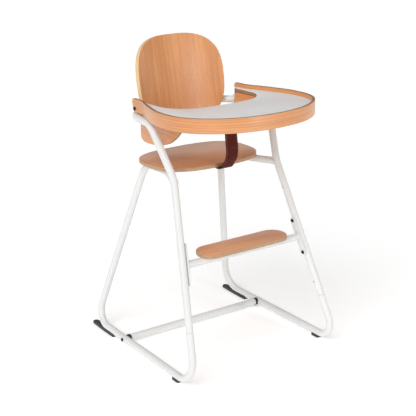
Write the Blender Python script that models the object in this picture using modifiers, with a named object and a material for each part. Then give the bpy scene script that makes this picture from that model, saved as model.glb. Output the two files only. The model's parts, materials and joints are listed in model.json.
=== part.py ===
"""Baby high chair: a white steel tube frame that carries bent plywood.

The child faces -Y, +Z is up, X is sideways and the floor is z = 0. Lengths are in metres.
Every side piece is built on the right (+X) and again, mirrored in x, on the left.
"""

import math

import bmesh
import bpy
from mathutils import Matrix, Vector

GAP = 0.0003          # air between pieces that touch
SIDES = {"right": 1, "left": -1}

# Steel tube frame: corners of the right-hand centre line, before bending
TUBE_RADIUS = 0.011
FRONT_FLOOR = Vector((0.2648, -0.2855, 0.016))
REAR_FLOOR = Vector((0.2575, 0.2855, 0.016))
WAIST = Vector((0.1864, -0.0670, 0.5633))
ARM_CORNER = Vector((0.2149, 0.0116, 0.7151))
ARM_INWARD = math.radians(10.5)     # how far each arm turns in towards the rail
RAIL_Y = 0.2105                     # the rail behind the backrest
UNDER_SEAT_X = 0.1395               # the run under the seat, and where it bends
UNDER_SEAT_FRONT_Y = 0.040
UNDER_SEAT_REAR_Y = 0.161
FLOOR_BEND = 0.056
WAIST_BEND = 0.12
ARM_BEND = 0.04
RAIL_BEND = 0.14
REAR_TOP_BEND = 0.05
SHALLOW_BEND = 0.10
BEND_STEP = math.radians(13)        # turn from one point of a bend to the next

# Fractions of the front leg, from its floor corner up to the waist
LEG_JOINT = 0.26
FOOTREST_HOLES = (0.3365, 0.502, 0.6745, 0.85)
FOOTREST_BOLTS = FOOTREST_HOLES[1:3]
LEG_HOLE = (0.004, 0.020)           # from and to, square to the leg's axis
SLEEVE_HALF_LENGTH = 0.022
SLEEVE_RADIUS = 0.0088
SLEEVE_END_ROOM = 0.0007

# Slopes that fall towards the back, as a fraction of the length
TRAY_SLOPE = 0.0392
SEAT_SLOPE = 0.0322

# Tray
RIM_TOP = 0.769                     # height of the rim's top plane at y = 0
RIM_HEIGHT = 0.042
RIM_THICK = 0.009
RIM_BACK_Y = 0.147
BOARD_DROP = 0.012                  # rim top down to the laminate
LAMINATE_THICK = 0.001
BOARD_THICK = 0.0107
ARM_OUTER_X = 0.192                 # the rim's two arms, at their back ends
HORN_BACK_Y = 0.130
HORN_OUTER_X = ARM_OUTER_X - RIM_THICK - 2 * GAP
HORN_INNER_X = 0.1675
GUARD_INNER_X = 0.1675
GUARD_THICK = 0.008
TRAY_PIVOT = Vector((0.0, 0.131, 0.735))
TRAY_OPEN = math.radians(80)        # where the arm ends come down on the tubes
ARM_END_RADIUS = 0.0130             # round the pivot
ARM_END_CORNER = 0.0083
LUG_INNER_X = 0.1783
LUG_THICK = 0.003
LUG_RADIUS = 0.008
LUG_ROOM = (0.0007, 0.0006)         # round the lug and beside it, where it sits in the tray board
PIVOT_BOLT_END = 0.0015             # how far a pivot bolt passes its lug

# Seat
SEAT_TOP = 0.5786                   # height of the seat's top plane at y = 0
SEAT_THICK = 0.012
SEAT_HALF_WIDTH = 0.182
SEAT_HALF_DEPTH = 0.1265
SEAT_Y = 0.077
SEAT_POWER = 2.8
SEAT_EGG = -0.03                    # how much wider the back is than the front
SEAT_SCREWS = (("front", 0.060), ("back", 0.108))

# Backrest: a curved shell that leans back
BACK_CENTRE = Vector((0.0, 0.2003, 0.7827))
BACK_BEND = 0.31
BACK_LEAN = math.radians(11.75)
BACK_HALF_WIDTH = 0.160
BACK_HALF_HEIGHT = 0.143
BACK_THICK = 0.012
BACK_POWER = 2.74
BACK_EGG = -0.02
BACK_BRACKET_U = 0.050
BACK_BRACKET_SIZE = (0.110, 0.024, 0.003)
BACK_BRACKET_V = -0.040
BACK_BOLT_V = (-0.045, -0.005)
BACK_BOLT_BITE = 0.009

# Footrest
FOOT_TUBE_Y = -0.157
FOOT_TUBE_Z = 0.3352
FOOT_BOARD_Y = -0.147
FOOT_BOARD_HALF_LENGTH = 0.157
FOOT_BOARD_HALF_WIDTH = 0.043
FOOT_BOARD_THICK = 0.012
FOOT_BRACKET_SIZE = (0.124, 0.023, 0.0035)
FOOT_SCREW_X = 0.095

# Floor parts
CROSS_BAR_Y = 0.105
SPACER_RADIUS = 0.0118
SPACER_LENGTH = 0.007
SPACER_CUP = 0.004                  # how far a spacer reaches round its runner
CROSS_BOLT_REACH = 0.015            # how far a bolt goes into the cross bar
GLIDE_Y = (-0.208, -0.176)
GLIDE_HEIGHT = 0.009
GLIDE_WIDTH = 0.0215
GLIDE_CORNER = 0.005
REAR_FOOT_Y = (0.165, 0.301)
REAR_FOOT_HEIGHT = 0.012
REAR_FOOT_HALF_WIDTH = 0.0125
REAR_FOOT_TIP = 0.0095              # its radius at the back end
REAR_FOOT_TAPER_Y = 0.225
REAR_FOOT_SLOPE = 0.10
REAR_FOOT_SLOPE_AT = (0.275, 0.0105)    # a point on the sloping top, as (y, z)

# Strap between the legs, as its centre line seen from the side
STRAP_WIDTH = 0.043
STRAP_THICK = 0.003
STRAP_LINE = (
    (-0.118, 0.7475),
    (-0.096, 0.7463),
    (-0.0860, 0.7400),
    (-0.0850, 0.7200),
    (-0.0874, 0.6740),
    (-0.0938, 0.6290),
    (-0.0907, 0.6040),
    (-0.0810, 0.5890),
    (-0.0715, 0.5755),
    (-0.0625, 0.5680),
    (-0.0500, 0.5652),
    (-0.0350, 0.5650),
    (-0.0080, 0.5643),
)
STRAP_SNAP_Y = -0.107
STRAP_STUD_Y = -0.020
STRAP_END_Z = 0.5646                # the strap's middle at the stud
STUD_REACH = 0.0115
SNAP_DROP = 0.0018                  # the tray's underside down to the strap
SNAP_CAP = ((0, 0), (0.0065, 0), (0.0065, -0.0022), (0.005, -0.003), (0, -0.003))
SNAP_HOLE_RADIUS = 0.0032
SNAP_POST = (0.0025, 0.0022, 0.0008)    # radius, height, and its top below the tray's underside

# Fasteners: head radius, head height, shank radius
BOLT = (0.0056, 0.0034, 0.0030)
SCREW = (0.0048, 0.0026, 0.0022)
STUD = (0.0065, 0.0060, 0.0022)
HOLE_EXTRA = 0.0004                 # radial room round a shank
SCREW_SINK = 0.0022                 # how deep a screw's head sits in a tube
SCREW_BITE = 0.007                  # how far a screw goes into a board
CLEAR = 0.004                       # how far a cutter runs out past the surface it starts from

PARTS = bpy.data.collections.new("baby_high_chair")
CUTTERS = bpy.data.collections.new("cutters")


# ------------------------------------------------------------------ paths and outlines
def mirrored(point, side):
    """The same point on the right (side 1) or on the left (side -1)."""
    return Vector((side * point.x, point.y, point.z))


def rounded_path(corners, radii):
    """A line through the corners, with each inner corner bent to its radius."""
    path = [corners[0]]
    for before, corner, after, radius in zip(corners, corners[1:], corners[2:], radii):
        towards = (before - corner).normalized()
        away = (after - corner).normalized()
        half = towards.angle(away) / 2
        centre = corner + (towards + away).normalized() * radius / math.sin(half)
        first = corner + towards * radius / math.tan(half) - centre
        last = corner + away * radius / math.tan(half) - centre
        turn = math.pi - 2 * half
        count = max(2, round(turn / BEND_STEP))
        for step in range(count + 1):
            spin = Matrix.Rotation(turn * step / count, 3, first.cross(last))
            path.append(centre + spin @ first)
    path.append(corners[-1])
    return path


def smooth_line(points, steps=5):
    """A smooth curve through flat points: a Catmull-Rom spline."""
    points = [Vector(point) for point in points]
    ends = [2 * points[0] - points[1]] + points + [2 * points[-1] - points[-2]]
    line = []
    for a, b, c, d in zip(ends, ends[1:], ends[2:], ends[3:]):
        for step in range(steps):
            t = step / steps
            line.append(b + ((c - a) * t + (2 * a - 5 * b + 4 * c - d) * t**2
                             + (3 * b - a - 3 * c + d) * t**3) / 2)
    line.append(points[-1])
    return line


def offset_line(line, distance):
    """The flat line moved sideways, to its left where distance is positive."""
    moved = []
    for i, point in enumerate(line):
        along = line[min(i + 1, len(line) - 1)] - line[max(i - 1, 0)]
        moved.append(point + Vector((-along.y, along.x)).normalized() * distance)
    return moved


def ribbon(line, thickness):
    """The closed outline of a band of one thickness that follows the line."""
    return offset_line(line, thickness / 2) + offset_line(line, -thickness / 2)[::-1]


def arc(centre, radius, start, end, steps):
    """Points round part of a circle, with its angles in degrees."""
    points = []
    for step in range(steps + 1):
        angle = math.radians(start + (end - start) * step / steps)
        points.append(Vector(centre) + radius * Vector((math.cos(angle), math.sin(angle))))
    return points


def egg(half_width, half_height, power, widening, angle):
    """A point on a rounded rectangle whose sides widen towards one end."""
    x = math.copysign(abs(math.cos(angle)) ** (2 / power), math.cos(angle))
    y = math.copysign(abs(math.sin(angle)) ** (2 / power), math.sin(angle))
    return Vector((half_width * x * (1 - widening * y), half_height * y))


def stadium(length, width, steps=8):
    """A flat bar with full round ends, along its own x."""
    reach = (length - width) / 2
    return arc((reach, 0), width / 2, -90, 90, steps) + arc((-reach, 0), width / 2, 90, 270, steps)


def rounded_rectangle(length, width, corner):
    """A rectangle with round corners, along its own x."""
    x, y = length / 2 - corner, width / 2 - corner
    outline = []
    for centre, start in (((x, y), 0), ((-x, y), 90), ((-x, -y), 180), ((x, -y), 270)):
        outline += arc(centre, corner, start, start + 90, 4)
    return outline


def leg_point(side, fraction):
    """A point on the front leg's centre line."""
    return mirrored(FRONT_FLOOR.lerp(WAIST, fraction), side)


def leg_axes(side):
    """Along the front leg, and square to it towards the middle of the chair."""
    along = (leg_point(side, 1) - leg_point(side, 0)).normalized()
    inward = Vector((-side, 0, 0))
    inward = (inward - inward.dot(along) * along).normalized()
    return along, inward


def runner_x(y):
    """The half width between the floor runners' centre lines."""
    fraction = (y - FRONT_FLOOR.y) / (REAR_FLOOR.y - FRONT_FLOOR.y)
    return FRONT_FLOOR.lerp(REAR_FLOOR, fraction).x


def under_seat_point(x, y):
    """A point on the tube that carries the seat board."""
    return Vector((x, y, SEAT_TOP - SEAT_SLOPE * y - SEAT_THICK - TUBE_RADIUS - 2 * GAP))


def seat_normal():
    return Vector((0, SEAT_SLOPE, 1)).normalized()


def tray_height(y, below_top=0.0):
    """The height of the sloping tray at y, measured down from the rim's top."""
    return RIM_TOP - TRAY_SLOPE * y - below_top


BOARD_UNDERSIDE = BOARD_DROP + LAMINATE_THICK + GAP + BOARD_THICK


def backrest_point(u, v, behind):
    """A point on the curved backrest: u across it, v up it, behind its front face."""
    angle = u / BACK_BEND
    x = (BACK_BEND + behind) * math.sin(angle)
    back = (BACK_BEND + behind) * math.cos(angle) - BACK_BEND
    return BACK_CENTRE + Vector((
        x,
        back * math.cos(BACK_LEAN) + v * math.sin(BACK_LEAN),
        v * math.cos(BACK_LEAN) - back * math.sin(BACK_LEAN),
    ))


# ------------------------------------------------------------------ objects
def material(name, colour, roughness, metallic=0.0):
    """A Principled material of one colour."""
    made = bpy.data.materials.new(name)
    made.use_nodes = True
    shader = made.node_tree.nodes["Principled BSDF"]
    shader.inputs["Base Color"].default_value = (*colour, 1)
    shader.inputs["Roughness"].default_value = roughness
    shader.inputs["Metallic"].default_value = metallic
    return made


def place(origin, x_axis, y_axis):
    """A matrix with its own x along x_axis and its own y near y_axis."""
    x_axis = Vector(x_axis).normalized()
    z_axis = x_axis.cross(Vector(y_axis)).normalized()
    matrix = Matrix((x_axis, z_axis.cross(x_axis), z_axis)).transposed().to_4x4()
    matrix.translation = origin
    return matrix


def side_view(x):
    """A matrix that lays an outline's own (x, y) on the chair's (Y, Z) at a given x."""
    return place((x, 0, 0), (0, 1, 0), (0, 0, 1))


def add(name, data, matrix=Matrix()):
    made = bpy.data.objects.new(name, data)
    PARTS.objects.link(made)
    made.matrix_world = matrix
    return made


def tube(name, path, radius=TUBE_RADIUS):
    """A round bar along the path: twelve sides and flat ends."""
    curve = bpy.data.curves.new(name, "CURVE")
    curve.dimensions = "3D"
    curve.bevel_depth = radius
    curve.bevel_resolution = 4
    curve.use_fill_caps = True
    spline = curve.splines.new("POLY")
    spline.points.add(len(path) - 1)
    for point, place_at in zip(spline.points, path):
        point.co = (*place_at, 1)
    return add(name, curve)


def plate(name, outline, thickness, matrix):
    """A flat outline with half its thickness on each side of the matrix's XY plane."""
    curve = bpy.data.curves.new(name, "CURVE")
    curve.dimensions = "2D"
    curve.fill_mode = "BOTH"
    curve.extrude = thickness / 2
    spline = curve.splines.new("POLY")
    spline.points.add(len(outline) - 1)
    for point, (x, y) in zip(spline.points, outline):
        point.co = (x, y, 0, 1)
    spline.use_cyclic_u = True
    return add(name, curve, matrix)


def as_mesh(curved):
    """Make a curve object a mesh with welded caps, so that it can be cut."""
    bpy.context.view_layer.update()
    evaluated = curved.evaluated_get(bpy.context.evaluated_depsgraph_get())
    mesh = bpy.data.meshes.new_from_object(evaluated)
    shell = bmesh.new()
    shell.from_mesh(mesh)
    bmesh.ops.remove_doubles(shell, verts=shell.verts, dist=0.00001)
    shell.to_mesh(mesh)
    shell.free()
    name = curved.name
    matrix = curved.matrix_world.copy()
    bpy.data.objects.remove(curved)
    return add(name, mesh, matrix)


def turned(name, profile, matrix, steps=12):
    """A solid of revolution about the matrix's z, from a profile that runs down its outside."""
    mesh = bpy.data.meshes.new(name)
    shape = bmesh.new()
    points = [shape.verts.new((radius, 0, height)) for radius, height in profile]
    for first, second in zip(points, points[1:]):
        shape.edges.new((first, second))
    shape.to_mesh(mesh)
    shape.free()
    made = add(name, mesh, matrix)
    screw = made.modifiers.new("turn", "SCREW")
    screw.steps = steps
    screw.render_steps = steps
    screw.use_merge_vertices = True
    screw.merge_threshold = 0.00001
    return made


def rod(name, radius, start, end, steps=12):
    """A straight cylinder from start to end."""
    matrix = place(start, (end - start).orthogonal(), (end - start).cross((end - start).orthogonal()))
    length = (end - start).length
    return turned(name, ((0, length), (radius, length), (radius, 0), (0, 0)), matrix, steps)


def fastener(name, sizes, shank_length, seat, outward):
    """A domed head that sits at the seat point, with its shank going in."""
    head, height, shank = sizes
    matrix = place(seat, outward.orthogonal(), outward.cross(outward.orthogonal()))
    profile = (
        (0, height),
        (head * 0.65, height * 0.92),
        (head, height * 0.4),
        (head, 0),
        (shank, 0),
        (shank, -shank_length),
        (0, -shank_length),
    )
    return turned(name, profile, matrix)


def build_sunk_screw(name, on_axis, up, bar, board, black, pivot=None):
    """A screw whose head is sunk in the underside of a tube, going up through it into a board."""
    seat = on_axis - up * (TUBE_RADIUS - SCREW_SINK)
    reach = TUBE_RADIUS - SCREW_SINK + TUBE_RADIUS + GAP + SCREW_BITE
    shank_room = hole(f"{name}_room", SCREW[2], seat - up * CLEAR, seat + up * (reach + GAP))
    head_room = hole(f"{name}_head_room", SCREW[0], seat - up * CLEAR, seat + up * GAP)
    cut(bar, shank_room, head_room)
    cut(board, shank_room)
    finish(fastener(name, SCREW, reach, seat, -up), black, pivot)


def make_cutter(made):
    """Move an object to the hidden cutters."""
    made.name = "cut_" + made.name
    PARTS.objects.unlink(made)
    CUTTERS.objects.link(made)
    made.display_type = "WIRE"
    made.hide_render = True
    return made


def hole(name, radius, start, end):
    """A cylinder to cut with, with room for a shank of the given radius."""
    return make_cutter(rod(name, radius + HOLE_EXTRA, start, end))


def box_cutter(name, matrix, size):
    """A box to cut with, centred on the matrix."""
    mesh = bpy.data.meshes.new(name)
    shape = bmesh.new()
    bmesh.ops.create_cube(shape, size=1)
    bmesh.ops.scale(shape, vec=size, verts=shape.verts)
    shape.to_mesh(mesh)
    shape.free()
    return make_cutter(add(name, mesh, matrix))


def cut(made, *cutters):
    """Take each cutter out of a mesh object."""
    for cutter in cutters:
        boolean = made.modifiers.new(cutter.name, "BOOLEAN")
        boolean.object = cutter
    return made


def finish(made, look, pivot=None):
    """Give an object its material, and hang it on the empty at its joint."""
    made.data.materials.append(look)
    if pivot:
        made.parent = pivot
        made.matrix_parent_inverse = pivot.matrix_world.inverted()


# ------------------------------------------------------------------ frame
def upper_frame_path():
    """Up the left leg, back along the arm, across behind the backrest and down again."""
    arm_run = RAIL_Y - ARM_CORNER.y
    rail_corner = Vector((
        ARM_CORNER.x - arm_run * math.tan(ARM_INWARD),
        RAIL_Y,
        ARM_CORNER.z - arm_run * TRAY_SLOPE,
    ))
    along, _ = leg_axes(1)
    right = [leg_point(1, LEG_JOINT) + along * GAP / 2, WAIST, ARM_CORNER, rail_corner]
    corners = [mirrored(corner, -1) for corner in right] + right[::-1]
    radii = (WAIST_BEND, ARM_BEND, RAIL_BEND, RAIL_BEND, ARM_BEND, WAIST_BEND)
    return rounded_path(corners, radii)


def side_loop_path(side):
    """Down the leg, back along the floor, up the rear leg and forward under the seat."""
    along, _ = leg_axes(1)
    corners = [
        leg_point(1, LEG_JOINT) - along * GAP / 2,
        FRONT_FLOOR,
        REAR_FLOOR,
        under_seat_point(UNDER_SEAT_X, UNDER_SEAT_REAR_Y),
        under_seat_point(UNDER_SEAT_X, UNDER_SEAT_FRONT_Y),
        under_seat_point(WAIST.x, WAIST.y),
    ]
    radii = (FLOOR_BEND, FLOOR_BEND, REAR_TOP_BEND, SHALLOW_BEND)
    return rounded_path([mirrored(corner, side) for corner in corners], radii)


def build_frame(steel, black):
    upper = as_mesh(tube("upper_frame", upper_frame_path()))
    weld_room = make_cutter(as_mesh(tube("upper_frame_room", upper_frame_path(), TUBE_RADIUS + GAP)))
    loops = {}
    for label, side in SIDES.items():
        along, inward = leg_axes(side)
        joint = leg_point(side, LEG_JOINT)
        sleeve_reach = along * SLEEVE_HALF_LENGTH
        bore_reach = along * (SLEEVE_HALF_LENGTH + SLEEVE_END_ROOM)
        sleeve = rod(f"leg_sleeve_{label}", SLEEVE_RADIUS, joint - sleeve_reach, joint + sleeve_reach)
        bore = hole(f"leg_bore_{label}", SLEEVE_RADIUS, joint - bore_reach, joint + bore_reach)
        finish(sleeve, steel)
        loops[side] = as_mesh(tube(f"side_loop_{label}", side_loop_path(side)))
        cut(loops[side], weld_room, bore)
        cut(upper, bore)
        for number, fraction in enumerate(FOOTREST_HOLES, 1):
            point = leg_point(side, fraction)
            inner, outer = (point + inward * reach for reach in LEG_HOLE)
            cut(upper, hole(f"leg_hole_{label}_{number}", BOLT[2], inner, outer))
    finish(upper, steel)
    for label, side in SIDES.items():
        build_floor_parts(label, side, loops[side], steel, black)
        finish(loops[side], steel)
    build_cross_bar(loops, steel, black)
    return loops


def runner_room(label, side):
    """The space that a floor runner takes up, to shape the pieces that touch it."""
    ends = [mirrored(FRONT_FLOOR, side), mirrored(REAR_FLOOR, side)]
    return make_cutter(rod(f"runner_room_{label}", TUBE_RADIUS + GAP, *ends, steps=36))


def build_floor_parts(label, side, loop, steel, black):
    """The glide under the front of a runner and the long foot that steadies its back."""
    room = runner_room(label, side)
    front, back = GLIDE_Y
    middle = (front + back) / 2
    glide_outline = rounded_rectangle(back - front, GLIDE_WIDTH, GLIDE_CORNER)
    glide = plate(f"front_glide_{label}", glide_outline, GLIDE_HEIGHT,
                  place((side * runner_x(middle), middle, GLIDE_HEIGHT / 2), (0, 1, 0), (-1, 0, 0)))
    finish(cut(as_mesh(glide), room), black)

    front, back = REAR_FOOT_Y
    wide = REAR_FOOT_HALF_WIDTH
    foot_outline = [Vector((-wide, front)), Vector((wide, front)), Vector((wide, REAR_FOOT_TAPER_Y))]
    foot_outline += arc((0, back - REAR_FOOT_TIP), REAR_FOOT_TIP, 0, 180, 8)
    foot_outline += [Vector((-wide, REAR_FOOT_TAPER_Y))]
    foot_x = side * runner_x((front + back) / 2)
    foot = as_mesh(plate(f"rear_foot_{label}", foot_outline, REAR_FOOT_HEIGHT,
                         Matrix.Translation((foot_x, 0, REAR_FOOT_HEIGHT / 2))))
    slope_size = Vector((0.05, 0.09, 0.02))
    slope_y, slope_z = REAR_FOOT_SLOPE_AT
    slope_at = Matrix.Translation((foot_x, slope_y, slope_z)) @ Matrix.Rotation(-REAR_FOOT_SLOPE, 4, "X")
    slope = box_cutter(f"rear_foot_slope_{label}",
                       slope_at @ Matrix.Translation((0, 0, slope_size.z / 2)), slope_size)
    finish(cut(foot, room, slope), black)


def build_cross_bar(loops, steel, black):
    """The bar between the floor runners, with its spacers and the bolts that hold it."""
    runner = runner_x(CROSS_BAR_Y)
    spacer_end = runner - TUBE_RADIUS + SPACER_CUP
    bar_end = runner - TUBE_RADIUS - SPACER_LENGTH
    height = FRONT_FLOOR.z
    bar = rod("cross_bar", TUBE_RADIUS, Vector((-bar_end, CROSS_BAR_Y, height)),
              Vector((bar_end, CROSS_BAR_Y, height)))
    for label, side in SIDES.items():
        outward = Vector((side, 0, 0))
        axis_at = Vector((0, CROSS_BAR_Y, height))
        spacer = rod(f"cross_bar_spacer_{label}", SPACER_RADIUS, axis_at + outward * (bar_end + GAP),
                     axis_at + outward * spacer_end)
        seat = axis_at + outward * (runner + TUBE_RADIUS + GAP)
        reach = seat.x * side - bar_end + CROSS_BOLT_REACH
        drill = hole(f"cross_bar_hole_{label}", BOLT[2], seat + outward * CLEAR,
                     seat - outward * (reach + GAP))
        cut(spacer, bpy.data.objects[f"cut_runner_room_{label}"], drill)
        cut(loops[side], drill)
        cut(bar, drill)
        finish(spacer, black)
        finish(fastener(f"cross_bar_bolt_{label}", BOLT, reach, seat, outward), black)
    finish(bar, steel)


# ------------------------------------------------------------------ seat, backrest and strap
def build_seat(loops, black):
    """The seat board on its two tubes, with a screw up through each tube in two places."""
    outline = []
    for step in range(56):
        point = egg(SEAT_HALF_WIDTH, SEAT_HALF_DEPTH, SEAT_POWER, SEAT_EGG, math.tau * step / 56)
        outline.append(point + Vector((0, SEAT_Y)))
    middle = Vector((0, 0, SEAT_TOP)) - seat_normal() * SEAT_THICK / 2
    board = as_mesh(plate("seat_board", outline, SEAT_THICK,
                          place(middle, (1, 0, 0), (0, 1, -SEAT_SLOPE))))
    up = seat_normal()
    for label, side in SIDES.items():
        for spot, y in SEAT_SCREWS:
            on_axis = under_seat_point(side * UNDER_SEAT_X, y)
            build_sunk_screw(f"seat_screw_{spot}_{label}", on_axis, up, loops[side], board, black)
    return board


def build_strap(board, leather, black):
    """The leather strap from the tray down round the front of the seat, and its fasteners."""
    line = smooth_line(STRAP_LINE, 3)
    strap = as_mesh(plate("crotch_strap", ribbon(line, STRAP_THICK), STRAP_WIDTH, side_view(0)))

    stud_seat = Vector((0, STRAP_STUD_Y, STRAP_END_Z - STRAP_THICK / 2 - GAP))
    stud_hole = hole("strap_stud_hole", STUD[2], stud_seat - Vector((0, 0, STRAP_THICK)),
                     stud_seat + Vector((0, 0, STUD_REACH + GAP)))
    cut(board, stud_hole)
    cut(strap, stud_hole)
    finish(fastener("strap_stud", STUD, STUD_REACH, stud_seat, Vector((0, 0, -1))), black)

    snap_z = tray_height(STRAP_SNAP_Y, BOARD_UNDERSIDE)
    cap_z = snap_z - STRAP_THICK - SNAP_DROP
    cap = turned("strap_snap_cap", SNAP_CAP, Matrix.Translation((0, STRAP_SNAP_Y, cap_z)))
    snap_hole = hole("strap_snap_hole", SNAP_HOLE_RADIUS, Vector((0, STRAP_SNAP_Y, cap_z - CLEAR)),
                     Vector((0, STRAP_SNAP_Y, snap_z + CLEAR)))
    cut(strap, snap_hole)
    finish(cap, black)
    finish(strap, leather)


def build_backrest(wood, steel, black):
    """The curved shell, the two strips on the rail that carry it, and their bolts."""
    mesh = bpy.data.meshes.new("backrest_shell")
    shape = bmesh.new()
    bmesh.ops.create_grid(shape, x_segments=16, y_segments=12, size=1)
    for vertex in shape.verts:
        reach = max(abs(vertex.co.x), abs(vertex.co.y))
        angle = math.atan2(vertex.co.y, vertex.co.x)
        edge = egg(BACK_HALF_WIDTH, BACK_HALF_HEIGHT, BACK_POWER, BACK_EGG, angle)
        vertex.co = backrest_point(edge.x * reach, edge.y * reach, 0)
    shape.to_mesh(mesh)
    shape.free()
    shell = add("backrest_shell", mesh)
    solidify = shell.modifiers.new("thickness", "SOLIDIFY")
    solidify.thickness = BACK_THICK
    solidify.offset = 1
    solidify.use_even_offset = True

    length, width, thick = BACK_BRACKET_SIZE
    for label, side in SIDES.items():
        u = side * BACK_BRACKET_U
        outward = (backrest_point(u, 0, 1) - backrest_point(u, 0, 0)).normalized()
        up = Vector((0, math.sin(BACK_LEAN), math.cos(BACK_LEAN)))
        middle = backrest_point(u, BACK_BRACKET_V, BACK_THICK + GAP + thick / 2)
        bracket = as_mesh(plate(f"backrest_bracket_{label}", stadium(length, width), thick,
                                place(middle, up, outward.cross(up))))
        for number, v in enumerate(BACK_BOLT_V, 1):
            seat = backrest_point(u, v, BACK_THICK + thick + 2 * GAP)
            reach = thick + BACK_BOLT_BITE
            drill = hole(f"backrest_hole_{label}_{number}", SCREW[2], seat + outward * CLEAR,
                         seat - outward * (reach + GAP))
            cut(bracket, drill)
            cut(shell, drill)
            finish(fastener(f"backrest_bolt_{label}_{number}", SCREW, reach, seat, outward), black)
        finish(bracket, steel)
    finish(shell, wood)


# ------------------------------------------------------------------ tray
def rim_line():
    """The outer edge of the tray rim seen from above, from the left arm round to the right."""
    right = [
        (0.0, -0.301),
        (0.108, -0.284),
        (0.190, -0.234),
        (0.237, -0.1625),
        (0.243, -0.067),
        (0.216, 0.034),
        (0.1985, 0.080),
        (0.1930, 0.105),
        (ARM_OUTER_X, 0.130),
        (ARM_OUTER_X, RIM_BACK_Y + 0.015),
    ]
    left = [(-x, y) for x, y in right[:0:-1]]
    return smooth_line(left + right, 5)


def tray_board_outline():
    """The board inside the rim, with a deep cut-out for the child and a horn on each side."""
    inside = [p for p in offset_line(rim_line(), RIM_THICK + GAP) if p.y < HORN_BACK_Y - 0.0085]
    cut_out = [
        (0.0, -0.060),
        (0.063, -0.058),
        (0.115, -0.045),
        (0.150, -0.012),
        (0.1650, 0.020),
        (HORN_INNER_X, 0.060),
        (HORN_INNER_X, HORN_BACK_Y - 0.008),
    ]
    cut_out = [(-x, y) for x, y in cut_out[:0:-1]] + cut_out
    horn_x = (HORN_INNER_X + HORN_OUTER_X) / 2
    horn_round = (HORN_OUTER_X - HORN_INNER_X) / 2
    right_tip = arc((horn_x, HORN_BACK_Y - horn_round), horn_round, 0, 180, 6)
    left_tip = [Vector((-p.x, p.y)) for p in right_tip[::-1]]
    return inside + right_tip + smooth_line(cut_out, 4)[::-1] + left_tip


def tray_plane(below_top):
    """A matrix that lays plan outlines on the sloping tray, some way below the rim's top."""
    down = Vector((0, -TRAY_SLOPE, -1)).normalized()
    return place(Vector((0, 0, RIM_TOP)) + down * below_top, (1, 0, 0), (0, 1, -TRAY_SLOPE))


def rim_end_cutter(label, side):
    """What is cut off a rim arm's end: round under the pivot, leaning back above it as far as the
    tray opens, and round again at the top."""
    lean = math.radians(90) - TRAY_OPEN
    top = tray_height(RIM_BACK_Y) - TRAY_PIVOT.z
    corner_z = top - ARM_END_CORNER
    corner_y = (ARM_END_RADIUS - ARM_END_CORNER + corner_z * math.sin(lean)) / math.cos(lean)
    beyond = 0.05
    edge = arc((0, 0), ARM_END_RADIUS, -90, -math.degrees(lean), 6)
    edge += arc((corner_y, corner_z), ARM_END_CORNER, -math.degrees(lean), 90, 6)
    edge += [Vector((corner_y, beyond)), Vector((beyond, beyond)), Vector((beyond, -beyond)),
             Vector((0, -beyond))]
    matrix = place((side * ARM_OUTER_X, *TRAY_PIVOT.yz), (0, 1, 0), (0, 0, 1))
    return make_cutter(as_mesh(plate(f"rim_end_{label}", edge, 4 * RIM_THICK, matrix)))


def guard_outline():
    """A side guard seen from the side: a flat hanging panel with soft corners."""
    top = BOARD_UNDERSIDE + GAP
    lower = [
        (0.1275, 0.7120),
        (0.1275, 0.6620),
        (0.1255, 0.6460),
        (0.1130, 0.6370),
        (0.0920, 0.6350),
        (0.0500, 0.6385),
        (0.0300, 0.6410),
        (-0.0040, 0.6510),
        (-0.0310, 0.6625),
        (-0.0600, 0.6820),
        (-0.0850, 0.7050),
        (-0.1050, 0.7270),
    ]
    rear_top = [Vector((0.1120, tray_height(0.1120, top))), Vector((0.1230, 0.7330))]
    front_top = [Vector((-0.1200, tray_height(-0.1200, top)))]
    return rear_top + smooth_line(lower, 3) + front_top


def lug_outline():
    """A tab that stands on the arm tube: round at the tray's pivot and wider at its foot."""
    centre = TRAY_PIVOT.yz
    return arc(centre, LUG_RADIUS, -10, 190, 10) + [
        centre + Vector((-0.0080, -0.030)),
        centre + Vector((0.0190, -0.030)),
        centre + Vector((0.0170, -0.014)),
    ]


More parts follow.
